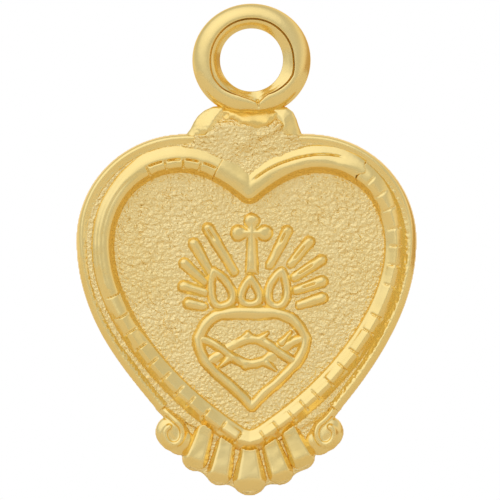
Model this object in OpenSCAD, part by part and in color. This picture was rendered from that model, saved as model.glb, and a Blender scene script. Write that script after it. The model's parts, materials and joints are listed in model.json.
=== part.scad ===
// Milagro charm: a small sacred heart in relief on a heart-shaped plate, with a hanging ring.
// Millimetres. The origin is the centre of the ring's hole, +Z is up and the front faces -Y.
// A drop is a distance below the origin, and a rise is a height above the plate's front.

/* [Heart plate] */
// Half width of the plate at its widest
heart_half_w = 8.45; // [7.6:0.05:9.3]
// Drop of the plate's flat top edge
heart_drop = 3.75; // [3.6:0.05:3.9]
// Drop of the plate's widest level
waist_drop = 9.0; // [8.4:0.1:9.6]
// Drop of the heart's lower end, under the skirt
tip_drop = 19.9; // [19.0:0.1:20.8]
// How far the heart is set to the left of the ring
heart_shift = 0.25; // [0:0.05:0.4]
// Thickness of the plate
plate_t = 1.0; // [0.7:0.05:1.4]
// How far the plate's front lies in front of the ring's centre
field_y = 0.1; // [0:0.05:0.3]

/* [Rim strips] */
// Width of the outer strips
rim_w = 0.45; // [0.3:0.05:0.55]
// Rise of the outer strips
rim_h = 0.5; // [0.3:0.05:0.7]

/* [Bezel] */
// From the plate's side to the bezel's crest
bezel_side = 1.05; // [1.0:0.05:1.3]
// From the plate's top edge to the bezel's crest
bezel_top = 1.25; // [1.2:0.05:1.5]
// From the heart's lower end up to the bezel's crest
bezel_tip = 0.75; // [0.6:0.05:1.2]
// Depth of the cleft between the bezel's two lobes
cleft_h = 1.55; // [1.2:0.05:2.0]
// Width of the bezel inside its crest
bezel_in = 0.55; // [0.4:0.05:0.65]
// Width of the bezel outside its crest
bezel_out = 0.5; // [0.4:0.05:0.5]
// Rise of the bezel
bezel_h = 0.75; // [0.55:0.05:1.0]
// Distance between two notches
notch_pitch = 0.9; // [0.7:0.05:1.2]
// Depth of a notch
notch_h = 0.12; // [0.05:0.01:0.2]
// Length of the smooth ribbon left of the cleft
ribbon_left = 1.9; // [1.5:0.1:2.5]
// Length of the smooth ribbon right of the cleft
ribbon_right = 6.0; // [5.0:0.1:6.5]

/* [Hanging ring] */
// Radius of the hole
bore_r = 1.575; // [1.4:0.025:1.75]
// Outer radius of the ring
ring_r = 2.9; // [2.8:0.05:3.0]
// Radius of the ring's wire
wire_r = 0.7; // [0.6:0.05:0.75]
// Length of the straight wall in the hole
land_l = 0.9; // [0.5:0.05:1.1]
// How much of the ring's lower side is flattened onto its seat
seat_flat = 0.3; // [0.2:0.05:0.4]

/* [Neck] */
// Half width of the neck block
neck_half_w = 1.7; // [1.5:0.05:1.9]
// How far the neck is set to the left of the ring
neck_shift = 0.3; // [0.1:0.05:0.4]
// Thickness of the neck
neck_t = 1.4; // [1.2:0.05:1.6]
// Rise of the apron that runs onto the plate
apron_h = 0.3; // [0.2:0.05:0.45]
// Radius of the shoulders
shoulder_r = 1.05; // [0.9:0.05:1.25]
// Half width of the solder at its foot
saddle_half_w = 0.58; // [0.4:0.02:0.8]
// Thickness of the solder
saddle_t = 1.2; // [0.9:0.05:1.35]

/* [Skirt] */
// Radius of the middle flute at its tip
mid_flute_r = 0.85; // [0.7:0.01:0.88]
// Radius of the other flutes at their tips
flute_r = 0.65; // [0.5:0.01:0.7]
// Half width of the fan at the flutes' tips
fan_w = 2.7; // [2.5:0.05:2.75]
// Drop of the middle flute's tip below the heart's lower end
fan_drop = 0.97; // [0.85:0.01:1.15]
// Half width of the fan at the flutes' roots
root_w = 2.3; // [2.1:0.05:2.4]
// Rise of the outer flutes' roots above the heart's lower end
root_rise = 1.15; // [1.0:0.05:1.3]
// Radius of the flutes at their roots
root_r = 0.5; // [0.36:0.02:0.56]
// How deep the flutes' centre lines lie behind the plate's front
flute_sink = 0.2; // [0.1:0.05:0.3]
// Radius of the scrolls
scroll_r = 0.82; // [0.7:0.02:0.9]
// Distance of a scroll's centre from the skirt's middle
scroll_x = 3.87; // [3.75:0.01:4.1]
// Rise of a scroll's centre above the heart's lower end
scroll_rise = 1.3; // [1.1:0.05:1.4]
// Width of the scrolls' band
band_w = 0.3; // [0.22:0.02:0.36]
// Rise of the scrolls' band
band_h = 0.6; // [0.4:0.05:0.8]
// Rise of the disc behind the band
disc_h = 0.25; // [0.1:0.05:0.35]

/* [Sacred heart] */
// Half width of the small heart, at its wire's middle
small_half_w = 2.68; // [2.4:0.02:2.8]
// From the bezel's crest up to the small heart's lower end
foot_gap = 1.85; // [1.5:0.05:2.3]
// Height of the small heart, at its wire's middle
small_h = 4.7; // [4.2:0.1:5.1]
// Width of the small heart's wire
small_w = 0.55; // [0.4:0.05:0.65]
// Rise of the small heart, the flames and the cross
emblem_h = 0.42; // [0.3:0.02:0.55]
// Height of the side flames
flame_h = 1.95; // [1.6:0.05:2.1]
// Height of the middle flame
mid_flame_h = 1.75; // [1.4:0.05:1.8]
// Width of the flames' wire
flame_w = 0.26; // [0.18:0.02:0.32]
// From the bezel's cleft down to the top of the cross
cross_gap = 0.4; // [0.25:0.05:0.9]
// Width of the cross's shaft
shaft_w = 0.5; // [0.4:0.02:0.6]
// Radius of the cross's round ends
trefoil_r = 0.4; // [0.3:0.02:0.45]
// Reach of the longest rays from the middle of the flames' foot
ray_reach = 4.4; // [4.0:0.05:4.6]
// Radius of a ray at its tip
ray_tip_r = 0.25; // [0.18:0.01:0.27]
// Radius of a ray at its root
ray_root_r = 0.15; // [0.1:0.01:0.18]
// Width of a thorn twig
twig_w = 0.36; // [0.26:0.02:0.44]
// Half the distance between the twigs where they lie apart
twig_swing = 0.62; // [0.5:0.02:0.7]
// Thickness of a twig where one passes over the other
twig_t = 0.2; // [0.14:0.01:0.24]

/* [Hidden] */
$fn = 64;
gold = [0.87, 0.71, 0.36];
pale_gold = [0.93, 0.82, 0.55];
deep_gold = [0.80, 0.60, 0.24];
front = -field_y;
back = front + plate_t;
step_n = 14;
eps = 0.01;
far = 30;

// Bezier from a to d, without its first point when skip is 1
function bez(a, b, c, d, skip = 0, n = step_n) =
  [for (i = [skip:n])
    let (t = i / n, s = 1 - t)
    s * s * s * a + 3 * s * s * t * b + 3 * s * t * t * c + t * t * t * d];

function flip(path) = [for (p = path) [-p[0], p[1]]];
function backwards(path) = [for (i = [len(path) - 1:-1:0]) path[i]];
function shift_x(path, d) = [for (p = path) [p[0] + d, p[1]]];

// Offset direction at b, between its neighbours a and c, to the left of the way
function mitre(a, b, c) =
  let (
    u = norm(b - a) > 0 ? (b - a) / norm(b - a) : (c - b) / norm(c - b),
    v = norm(c - b) > 0 ? (c - b) / norm(c - b) : u,
    n1 = [-u[1], u[0]],
    n2 = [-v[1], v[0]]
  ) (n1 + n2) / (1 + n1 * n2);

function open_mitre(path, i) = mitre(path[max(i - 1, 0)], path[i], path[min(i + 1, len(path) - 1)]);
function ring_mitre(path, i) =
  let (n = len(path)) mitre(path[(i + n - 1) % n], path[i], path[(i + 1) % n]);

// Outline of a band of width w round an open path
function band(path, w) =
  let (side = [for (s = [1, -1]) [for (i = [0:len(path) - 1]) path[i] + s * w / 2 * open_mitre(path, i)]])
  concat(side[0], backwards(side[1]));

// Closed path moved sideways by d
function offset_ring(path, d) = [for (i = [0:len(path) - 1]) path[i] + d * ring_mitre(path, i)];

// Plate edge, right half: the rounded shoulder and side, then the lower edge under the skirt
side_h = tip_drop - waist_drop;
edge_start = 0.355 * heart_half_w;
edge_end = [0.527 * heart_half_w, -waist_drop - 0.785 * side_h];
function edge_side() = concat(
  bez([edge_start, -heart_drop], [0.72 * heart_half_w, -heart_drop],
    [heart_half_w, -heart_drop - 0.45 * (waist_drop - heart_drop)], [heart_half_w, -waist_drop]),
  bez([heart_half_w, -waist_drop], [heart_half_w, -waist_drop - 0.312 * side_h],
    [0.781 * heart_half_w, -waist_drop - 0.55 * side_h], edge_end, 1));
function edge_low() = bez(edge_end, [0.402 * heart_half_w, -waist_drop - 0.872 * side_h],
  [0.17 * heart_half_w, -waist_drop - 0.975 * side_h], [0, -tip_drop], 1);
function plate_outline() =
  let (half = concat(edge_side(), edge_low()))
  shift_x(concat(half, backwards(flip([for (i = [0:len(half) - 2]) half[i]]))), -heart_shift);

// Bezel crest, right half, from the cleft to the lower end
bezel_shift = 0.4 * heart_shift;
crest_w = heart_half_w - bezel_side;
crest_top = heart_drop + bezel_top;
crest_waist = waist_drop + 0.3;
crest_end = tip_drop - bezel_tip;
crest_h = crest_end - crest_waist;
crest_half = concat(
  bez([0, -crest_top - cleft_h], [0.135 * crest_w, -crest_top - 0.45 * cleft_h],
    [0.3 * crest_w, -crest_top], [0.46 * crest_w, -crest_top]),
  bez([0.46 * crest_w, -crest_top], [0.77 * crest_w, -crest_top],
    [crest_w, -crest_top - 0.43 * (crest_waist - crest_top)], [crest_w, -crest_waist], 1),
  bez([crest_w, -crest_waist], [crest_w, -crest_waist - 0.33 * crest_h],
    [0.62 * crest_w, -crest_waist - 0.72 * crest_h], [0.07 * crest_w, -crest_end + 0.015 * crest_h], 1, 20),
  [[0, -crest_end]]);

// The crest by its length s from the cleft
crest_step = [0, for (i = [1:len(crest_half) - 1]) norm(crest_half[i] - crest_half[i - 1])];
function run_sum(v, i = 0, total = 0) =
  i == len(v) ? [] : concat([total + v[i]], run_sum(v, i + 1, total + v[i]));
crest_s = run_sum(crest_step);
crest_l = crest_s[len(crest_s) - 1];
x_by_s = [for (i = [0:len(crest_s) - 1]) [crest_s[i], crest_half[i][0]]];
z_by_s = [for (i = [0:len(crest_s) - 1]) [crest_s[i], crest_half[i][1]]];
function crest_at(s) = [lookup(s, x_by_s), lookup(s, z_by_s)];
// Outward direction on the crest, square to it, and upright on the heart's centre line
function crest_out(s) =
  let (
    a = crest_at(max(s - 0.1, 0)),
    b = crest_at(min(s + 0.1, crest_l)),
    t = (b - a) / norm(b - a)
  ) s < eps || s > crest_l - eps ? [0, 1 / t[0]] : [-t[1], t[0]];

// Cross-section of the bezel: [outward, rise], where cut is the depth of a notch
function bezel_section(cut) = [
  [-bezel_in, 0],
  [-bezel_in, 0.1 * bezel_h],
  [-0.5 * bezel_in, 0.9 * bezel_h - cut],
  [0, bezel_h - cut],
  [0.4 * bezel_out, 0.85 * bezel_h - cut],
  [bezel_out, 0.3 * bezel_h],
  [bezel_out, 0]];

// One ring of points across the bezel at length s, on the right or left half
function bezel_ring(s, side, cut = 0) =
  let (p = crest_at(s), m = crest_out(s))
  [for (q = bezel_section(cut))
    [side * (p[0] + m[0] * q[0]) - bezel_shift, front - q[1], p[1] + m[1] * q[0]]];

// Stations along a plain stretch, and along a notched one: [s, cut]
function plain_stations(s0, s1, n) = [for (i = [0:n]) [s0 + (s1 - s0) * i / n, 0]];
notch_half_w = 0.06;
// The first station past the cleft lies beyond the bezel's own width, so that the bend doesn't fold
first_s = 1.4 * bezel_out;
function notched_stations(s0, s1) = concat(
  [[s0, 0]],
  [for (s = [s0 + notch_pitch:notch_pitch:s1 - 0.5 * notch_pitch])
    each [[s - 0.5 * notch_pitch, 0], [s - notch_half_w, 0], [s, notch_h], [s + notch_half_w, 0]]],
  [[s1, 0]]);

// Outline of the bezel's crest line moved outward by d
function bezel_outline(d) =
  let (
    stations = concat([[0, 0]], plain_stations(first_s, crest_l, 40)),
    half = [for (q = stations) crest_at(q[0]) + d * crest_out(q[0])]
  ) shift_x(concat(half, backwards(flip([for (i = [1:len(half) - 2]) half[i]]))), -bezel_shift);

// A solid through rings of points, closed on itself or capped at both ends
module loft(rings) {
  n = len(rings);
  k = len(rings[0]);
  sides = [for (i = [0:n - 2], j = [0:k - 1])
    let (a = i * k + j, b = i * k + (j + 1) % k)
    each [[a, b, a + k], [b, b + k, a + k]]];
  caps = [[for (j = [k - 1:-1:0]) j], [for (j = [0:k - 1]) (n - 1) * k + j]];
  polyhedron([for (r = rings) each r], concat(sides, caps), convexity = 10);
}

// A flat outline in the plane of the front, raised from rise z0 to rise z1
module raised(z0, z1) {
  translate([0, front - z0, 0])
    rotate([90, 0, 0])
      linear_extrude(z1 - z0)
        children();
}

function arc(c, r, a0, a1, n) = [for (i = [0:n]) let (a = a0 + (a1 - a0) * i / n) c + r * [cos(a), sin(a)]];
function disc(c, r) = [for (a = [0:6:354]) c + r * [cos(a), sin(a)]];

// Outline of a round tip of radius r1 at p1, and of the straight sides that run to it from p0, r0
function taper(p0, r0, p1, r1) =
  let (
    turn = atan2(p1[1] - p0[1], p1[0] - p0[0]),
    lean = acos((r0 - r1) / norm(p1 - p0)),
    side = [cos(turn + lean), sin(turn + lean)],
    other = [cos(turn - lean), sin(turn - lean)]
  ) concat([p0 + r0 * other], arc(p1, r1, turn - lean, turn + lean, 24), [p0 + r0 * side]);

// A tapered bar with round ends, its centre line sunk behind the plate's front and cut there
module round_bar(p0, r0, p1, r1, sink) {
  d = norm(p1 - p0);
  turn = atan2(p1[1] - p0[1], p1[0] - p0[0]);
  lean = (r0 - r1) / d;
  slim = sqrt(1 - lean * lean);
  difference() {
    translate([p0[0], front + sink, p0[1]])
      rotate([0, 90 - turn, 0]) {
        sphere(r0);
        translate([0, 0, r0 * lean])
          cylinder(h = d + (r1 - r0) * lean, r1 = r0 * slim, r2 = r1 * slim);
        translate([0, 0, d]) sphere(r1);
      }
    translate([-far, front, -far]) cube(2 * far);
  }
}

// Flutes: root and tip on the skirt, from left to right, from the heart's lower end
flute_root = [for (p = [[-1, 1], [-0.52, 0.52], [0, 0.26], [0.48, 0.48], [0.91, 0.96]])
  [p[0] * root_w - bezel_shift, p[1] * root_rise - tip_drop]];
flute_tip = [for (p = [[-1, -0.1], [-0.55, -0.72], [0, -1], [0.56, -0.68], [0.96, 0]])
  [p[0] * fan_w - bezel_shift, p[1] * fan_drop - tip_drop]];
function tip_r(i) = i == 2 ? mid_flute_r : flute_r;
scroll_z = scroll_rise - tip_drop;
function scroll_at(side) = [side * scroll_x - bezel_shift, scroll_z];

module flute(i) {
  color(gold)
    difference() {
      intersection() {
        round_bar(flute_root[i], root_r, flute_tip[i], tip_r(i), flute_sink);
        raised(-eps, 2) polygon(concat(between(i - 1), backwards(between(i))));
      }
      raised(-2 * eps, 3) polygon(bezel_outline(bezel_out));
    }
}

// Wedge of the skirt that belongs to flute i, between the lines halfway to its neighbours
function between(i) =
  let (
    a = i < 0 ? scroll_at(-1) : flute_tip[i],
    b = i > 3 ? scroll_at(1) : flute_tip[i + 1],
    ra = i < 0 ? scroll_r : tip_r(i),
    rb = i > 3 ? scroll_r : tip_r(i + 1),
    low = a + (b - a) * ra / (ra + rb),
    high = i < 0 ? flute_root[0] + 1.5 * [-root_r, 0.5 * root_r]
      : i > 3 ? flute_root[4] + 1.5 * [root_r, 0.5 * root_r]
      : (flute_root[i] + flute_root[i + 1]) / 2
  ) [high + 0.5 * (high - low), low + 2 * (low - high)];

module back_plate() {
  apex = (scroll_at(1) + scroll_at(-1)) / 2 + [0, root_rise];
  skirt = concat([scroll_at(-1)], flute_tip, [scroll_at(1), apex]);
  color(pale_gold)
    translate([0, back, 0])
      rotate([90, 0, 0])
        union() {
          linear_extrude(plate_t) polygon(plate_outline());
          linear_extrude(plate_t) polygon(skirt);
          for (i = [0:4])
            linear_extrude(plate_t) polygon(taper(flute_root[i], root_r, flute_tip[i], tip_r(i)));
          for (s = [1, -1]) linear_extrude(plate_t) polygon(disc(scroll_at(s), scroll_r));
        }
}

// Rim strip: outer face on the plate's edge, with a rounded top
rim_section = [[0, 0], [0, 0.7], [0.2, 0.95], [0.5, 1], [0.8, 0.9], [1, 0.6], [1, 0]];
module rim_strip(side) {
  path = edge_side();
  color(gold)
    loft([for (k = [0:len(path) - 1])
      let (i = side > 0 ? k : len(path) - 1 - k, m = open_mitre(path, i))
      [for (q = rim_section)
        [side * (path[i][0] - m[0] * q[0] * rim_w) - heart_shift, front - q[1] * rim_h,
          path[i][1] - m[1] * q[0] * rim_w]]]);
}

module notched_bezel() {
  right = notched_stations(ribbon_right, crest_l);
  left = notched_stations(ribbon_left, crest_l);
  color(gold)
    loft(concat(
      [for (q = right) bezel_ring(q[0], 1, q[1])],
      [for (i = [len(left) - 2:-1:0]) bezel_ring(left[i][0], -1, left[i][1])]));
}

module bezel_ribbon() {
  color(gold)
    loft(concat(
      [for (q = backwards(plain_stations(first_s, ribbon_left, 6))) bezel_ring(q[0], -1)],
      [bezel_ring(0, 1)],
      [for (q = plain_stations(first_s, ribbon_right, 24)) bezel_ring(q[0], 1)]));
}

// Scroll: an arm that goes on from the rim strip's end and winds once round the disc.
// It is drawn about the disc's centre, with the skirt's middle to the right.
scroll_start = 50;
scroll_turn = 400;
scroll_in_r = 0.2;
scroll_out_r = scroll_r - band_w / 2 - 0.02;
arm_room = 0.02;
function spiral() =
  [for (i = [0:30])
    let (t = i / 30, a = scroll_start - scroll_turn * t, r = (1 - t) * scroll_out_r + t * scroll_in_r)
    [r * cos(a), r * sin(a)]];
function arm(side) =
  let (
    edge = edge_side(),
    n = len(edge) - 1,
    run = (edge[n] - edge[n - 1]) / norm(edge[n] - edge[n - 1]),
    way = [-run[0], run[1]],
    foot = edge[n] + rim_w / 2 * [run[1], -run[0]],
    start = [scroll_x - foot[0] + side * (heart_shift - bezel_shift), foot[1] - scroll_z] + arm_room * way,
    end = spiral()[0],
    end_way = [sin(scroll_start), -cos(scroll_start)]
  ) bez(start, start + 0.45 * way, end - 0.4 * end_way, end, 0, 10);

module scroll(side) {
  line = arm(side);
  color(gold)
    translate([scroll_at(side)[0], 0, scroll_z])
      mirror([side > 0 ? 1 : 0, 0, 0])
        union() {
          raised(0, disc_h) polygon(disc([0, 0], scroll_r));
          raised(0, band_h) polygon(band(concat([for (i = [0:9]) line[i]], spiral()), band_w));
        }
}

// Neck: the block, its apron down to the bezel, the shoulders and the solder
seat_drop = ring_r - seat_flat;
neck_l = -neck_shift - neck_half_w;
neck_r = neck_half_w - neck_shift;
saddle_foot = seat_drop + 0.7 * (heart_drop - seat_drop);
saddle_top_w = sqrt(ring_r * ring_r - seat_drop * seat_drop);
ring_room = 0.02;
apron_room = 0.05;

module ring_space() {
  rotate([90, 0, 0]) cylinder(h = far, r = ring_r + ring_room, center = true);
}

module saddle_2d() {
  polygon([[-saddle_half_w, -saddle_foot], [saddle_half_w, -saddle_foot],
    [saddle_top_w, -seat_drop], [-saddle_top_w, -seat_drop]]);
}

module neck_block() {
  color(pale_gold) {
    translate([0, neck_t / 2, 0])
      rotate([90, 0, 0])
        linear_extrude(neck_t)
          difference() {
            translate([neck_l, -heart_drop]) square([2 * neck_half_w, heart_drop - seat_drop]);
            saddle_2d();
            circle(ring_r + ring_room);
          }
    raised(0, apron_h)
      difference() {
        polygon([[apron_room - edge_start - heart_shift, -heart_drop],
          [edge_start - heart_shift - apron_room, -heart_drop], [0, -crest_top - cleft_h]]);
        polygon(bezel_outline(bezel_out));
      }
  }
}

module neck_shoulder(side) {
  x = side > 0 ? neck_r : neck_l;
  color(gold)
    difference() {
      intersection() {
        translate([x, 0, -heart_drop + 0.3 * shoulder_r])
          rotate([90, 0, 0])
            cylinder(h = neck_t, r = shoulder_r, center = true);
        translate([side > 0 ? x : x - far, -far / 2, -heart_drop]) cube(far);
      }
      ring_space();
    }
}

module ring_saddle() {
  color(deep_gold)
    translate([0, saddle_t / 2, 0])
      rotate([90, 0, 0])
        linear_extrude(saddle_t) saddle_2d();
}

module hanging_ring() {
  mid_r = ring_r - wire_r;
  lip_r = mid_r - 0.15 * wire_r;
  lip_y = wire_r * 1.02;
  in_r = mid_r - wire_r - 0.1;
  color(gold)
    difference() {
      rotate([90, 0, 0]) {
        rotate_extrude() translate([mid_r, 0]) circle(wire_r);
        rotate_extrude()
          polygon([[in_r, land_l / 2], [bore_r, land_l / 2], [lip_r, lip_y], [mid_r, 0],
            [lip_r, -lip_y], [bore_r, -land_l / 2], [in_r, -land_l / 2]]);
      }
      rotate([90, 0, 0]) cylinder(h = 4 * wire_r, r = bore_r, center = true);
      translate([-far / 2, -far / 2, -seat_drop - far]) cube(far);
    }
}

// Small heart: the middle line of its wire, right half, from the top
small_z = foot_gap + small_h - crest_end;
small_side_z = small_z - 0.28 * small_h;
function small_line() =
  let (half = concat(
    bez([0, small_z], [0.56 * small_half_w, small_z], [0.82 * small_half_w, small_z],
      [small_half_w, small_side_z], 0, 10),
    bez([small_half_w, small_side_z], [small_half_w, small_side_z - 0.3 * small_h],
      [0.45 * small_half_w, small_side_z - 0.42 * small_h], [0, small_z - small_h], 1, 10)))
  concat(half, backwards(flip([for (i = [1:len(half) - 2]) half[i]])));

module heart_frame() {
  line = small_line();
  color(gold)
    raised(0, emblem_h)
      difference() {
        polygon(offset_ring(line, small_w / 2));
        polygon(offset_ring(line, -small_w / 2));
      }
}

// Flames: loops that stand on the small heart's top edge
flame_z = small_z + small_w / 2;
function flame_line(w, h, lean) = concat(
  bez([-0.4 * w, 0], [-0.68 * w, 0.42 * h], [-0.2 * w + 0.5 * lean, 0.62 * h], [lean, h], 0, 10),
  bez([lean, h], [0.2 * w + 0.5 * lean, 0.62 * h], [0.68 * w, 0.42 * h], [0.4 * w, 0], 1, 10));

// [middle, width, height, lean] of each flame
flames = [for (f = [[-0.53, 0.56, flame_h, -0.11], [0, 0.45, mid_flame_h, 0], [0.49, 0.49, flame_h, 0.13]])
  [f[0] * small_half_w, f[1] * small_half_w, f[2], f[3] * small_half_w]];

module flame_2d(f) {
  translate([f[0], flame_z]) polygon(flame_line(f[1], f[2], f[3]));
}

module flame(f) {
  color(gold)
    raised(0, emblem_h)
      difference() {
        flame_2d(f);
        translate([f[0], flame_z + flame_w])
          polygon(flame_line(f[1] - 2.4 * flame_w, f[2] - 2.6 * flame_w, 0.8 * f[3]));
      }
}

// Cross: stands on the middle flame's tip
cross_foot = flame_z + mid_flame_h;
cross_h = -crest_top - cleft_h - bezel_in / crest_out(0.2)[1] - cross_gap - cross_foot;
arm_z = cross_foot + 0.66 * cross_h;
arm_x = 1.6 * trefoil_r;

module cross_2d() {
  translate([-shaft_w / 2, cross_foot]) square([shaft_w, cross_h - trefoil_r]);
  translate([-arm_x, arm_z - shaft_w / 2]) square([2 * arm_x, shaft_w]);
  translate([0, cross_foot + cross_h - trefoil_r]) circle(trefoil_r);
  for (s = [1, -1]) translate([s * arm_x, arm_z]) circle(trefoil_r);
}

module cross() {
  color(gold) raised(0, emblem_h) cross_2d();
}

// Rays: a fan about the middle of the flames' foot. Each is [root angle, root reach, tip angle, tip reach],
// with angles from upright and reaches as shares of ray_reach.
rays_left = [[27, 0.45, 29.5, 1.02], [50, 0.62, 42.5, 0.97], [62, 0.61, 57.5, 0.91], [73, 0.56, 73.5, 0.81],
  [90, 0.54, 87, 0.72]];
rays_right = [[23, 0.52, 24.7, 0.95], [42, 0.66, 41, 0.98], [55, 0.6, 56, 0.95], [69, 0.55, 70, 0.85],
  [88, 0.54, 82, 0.8]];
function ray_at(angle, reach, side) = [side * sin(angle), cos(angle)] * reach * ray_reach + [0, flame_z];

module ray(i, side) {
  r = (side > 0 ? rays_right : rays_left)[i];
  root = ray_at(r[0], r[1], side);
  tip = ray_at(r[2], r[3], side);
  color(gold)
    difference() {
      round_bar(root, ray_root_r, tip, ray_tip_r, 0);
      raised(-eps, 2) {
        for (f = flames) flame_2d(f);
        cross_2d();
        polygon(offset_ring(small_line(), small_w / 2));
      }
    }
}

// Thorn twigs: two waves that cross twice, each over the other once
twig_z = small_z - 0.415 * small_h;
twig_half_l = small_half_w;
twig_n = 44;
twig_h = emblem_h - 0.05;
cross_at_x = twig_half_l / 2;
function near_crossing(x, at) = max(0, min(1, (0.75 - abs(x - at)) / 0.3));
function twig_point(i, s) =
  let (x = twig_half_l * (2 * i / twig_n - 1)) [x, twig_z + s * twig_swing * cos(180 * x / twig_half_l)];

module twig(s) {
  path = [for (i = [0:twig_n]) twig_point(i, s)];
  intersection() {
    loft([for (i = [0:twig_n])
      let (
        m = open_mitre(path, i) * twig_w / 2,
        over = near_crossing(path[i][0], s * cross_at_x),
        under = near_crossing(path[i][0], -s * cross_at_x),
        low = over * (twig_t + ring_room),
        high = twig_h + over * (2 * twig_t + ring_room - twig_h) - under * (twig_h - twig_t),
        mid = (low + high) / 2
      )
      [for (q = [[-1, low], [-1, mid], [-0.5, high], [0.5, high], [1, mid], [1, low]])
        [path[i][0] + m[0] * q[0], front - q[1], path[i][1] + m[1] * q[0]]]]);
    raised(0, 2) polygon(offset_ring(small_line(), -small_w / 2));
  }
}

module thorn_twig_upper() {
  color(gold) twig(1);
}

module thorn_twig_lower() {
  color(gold) twig(-1);
}

back_plate();
rim_strip(-1);  // rim_strip_left
rim_strip(1);  // rim_strip_right
notched_bezel();
bezel_ribbon();
scroll(-1);  // scroll_left
scroll(1);  // scroll_right
flute(0);  // flute_1
flute(1);  // flute_2
flute(2);  // flute_3
flute(3);  // flute_4
flute(4);  // flute_5
neck_block();
neck_shoulder(-1);  // neck_shoulder_left
neck_shoulder(1);  // neck_shoulder_right
ring_saddle();
hanging_ring();
heart_frame();
thorn_twig_upper();
thorn_twig_lower();
flame(flames[0]);  // flame_left
flame(flames[1]);  // flame_centre
flame(flames[2]);  // flame_right
cross();
ray(0, -1);  // ray_left_1
ray(1, -1);  // ray_left_2
ray(2, -1);  // ray_left_3
ray(3, -1);  // ray_left_4
ray(4, -1);  // ray_left_5
ray(0, 1);  // ray_right_1
ray(1, 1);  // ray_right_2
ray(2, 1);  // ray_right_3
ray(3, 1);  // ray_right_4
ray(4, 1);  // ray_right_5
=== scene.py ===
import bpy
import json
import math
import numpy as np
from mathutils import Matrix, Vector

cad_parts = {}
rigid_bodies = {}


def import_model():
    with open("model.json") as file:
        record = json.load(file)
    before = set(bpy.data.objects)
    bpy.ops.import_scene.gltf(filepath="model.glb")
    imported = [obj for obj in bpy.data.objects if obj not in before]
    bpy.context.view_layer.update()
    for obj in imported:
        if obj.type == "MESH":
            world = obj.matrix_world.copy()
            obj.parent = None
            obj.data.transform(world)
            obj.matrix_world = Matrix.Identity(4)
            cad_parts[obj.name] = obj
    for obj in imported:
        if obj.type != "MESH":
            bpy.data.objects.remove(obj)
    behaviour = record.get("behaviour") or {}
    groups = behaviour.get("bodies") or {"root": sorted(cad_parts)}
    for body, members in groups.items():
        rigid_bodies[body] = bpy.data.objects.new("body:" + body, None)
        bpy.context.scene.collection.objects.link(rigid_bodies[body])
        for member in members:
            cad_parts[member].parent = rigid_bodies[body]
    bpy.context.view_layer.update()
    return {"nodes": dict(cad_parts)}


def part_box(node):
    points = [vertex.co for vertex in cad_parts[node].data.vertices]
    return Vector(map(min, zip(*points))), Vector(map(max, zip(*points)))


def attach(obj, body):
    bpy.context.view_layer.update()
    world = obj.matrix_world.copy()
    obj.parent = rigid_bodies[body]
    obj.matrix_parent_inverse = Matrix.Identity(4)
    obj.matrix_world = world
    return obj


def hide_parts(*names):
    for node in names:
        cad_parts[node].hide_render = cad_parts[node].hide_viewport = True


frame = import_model()

# Millimetres. The origin is the ring's centre, z is up, and a rise is a height above the plate's front
MM = 0.001
CELL, FINE_CELL = 0.05, 0.04
PLATE_LOW, PLATE_HIGH = (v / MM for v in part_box("back_plate"))
FRONT = PLATE_LOW.y
PLATE_T = PLATE_HIGH.y - PLATE_LOW.y

# The plate's heart: half width, and how far its top, widest place and tip lie below the origin
HEART_W, HEART_DROP, WAIST, TIP = 8.45, 3.75, 9.0, 19.9
# How far both hearts stand left of the origin, and how far and where the lower plate comes back
HEART_SHIFT, BEZEL_SHIFT = 0.25, 0.1
LEAN, LEAN_TOP, LEAN_LOW = 0.1, 13.0, 17.5
RIM_START, RIM_W = 2.3, 0.45
# The bezel's crest: half width, top, depth of the cleft, widest place and end, then its reach to each side
CREST_W, CREST_TOP, CLEFT, CREST_WAIST, CREST_END = 7.4, 5.0, 1.55, 9.3, 19.15
BEZEL_IN, BEZEL_OUT = 0.55, 0.5
# Where the smooth ribbon ends on each side, as a length along the crest from the cleft
RIBBON_LEFT, RIBBON_RIGHT = 1.9, 6.0
SMALL_W, SMALL_Z, SMALL_H, SMALL_WIRE = 2.68, -12.6, 4.7, 0.55
FLAME_Z = SMALL_Z + SMALL_WIRE / 2
FLUTE_ROOT_R, FLUTE_TIP_R = 0.5, (0.65, 0.65, 0.85, 0.65, 0.65)
SCROLL_R, SCROLL_X, SCROLL_Z = 0.82, 3.87, -18.6
SCROLL_FOOT_R, SCROLL_FOOT_X, SCROLL_FOOT_Z = 0.7, 3.45, -19.05
NECK_LEFT, NECK_RIGHT, NECK_T, SEAT = -2.0, 1.4, 1.4, 2.6
BORE_R, RING_W, RING_UP, RING_FLAT, LIP_R = 1.575, 2.96, 2.82, 2.78, 2.13

# Rises: the relief's usual height, the underside of what lies on the plate, and one where no piece is
EMBLEM_H, SUNK, NOWHERE = 0.23, -0.22, -1.0
# The photograph's light, as a direction in the plate's plane
LIT = (-0.47, 0.88)
# A distance past every reach, and the pitch of the finest grains
FAR, GRAIN = 9.0, 0.14


# Curves
def bez(a, b, c, d, n=24):
    a, b, c, d = (np.array(p, float) for p in (a, b, c, d))
    t = np.linspace(0, 1, n + 1)[:, None]
    return (1 - t) ** 3 * a + 3 * (1 - t) ** 2 * t * b + 3 * (1 - t) * t**2 * c + t**3 * d


def chain(*paths):
    return np.vstack([paths[0]] + [p[1:] for p in paths[1:]])


def closed_up(path):
    return np.vstack([path, path[:1]])


def flipped(path):
    return path[::-1] * (-1, 1)


def moved(path, x=0.0, z=0.0):
    return np.array(path, float) + (x, z)


def lengths(path):
    return np.hypot(*np.diff(path, axis=0).T)


def both_halves(right):
    """A closed path from its right half, which runs from the top to the bottom."""
    return chain(right, flipped(right)[:-1])


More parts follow.
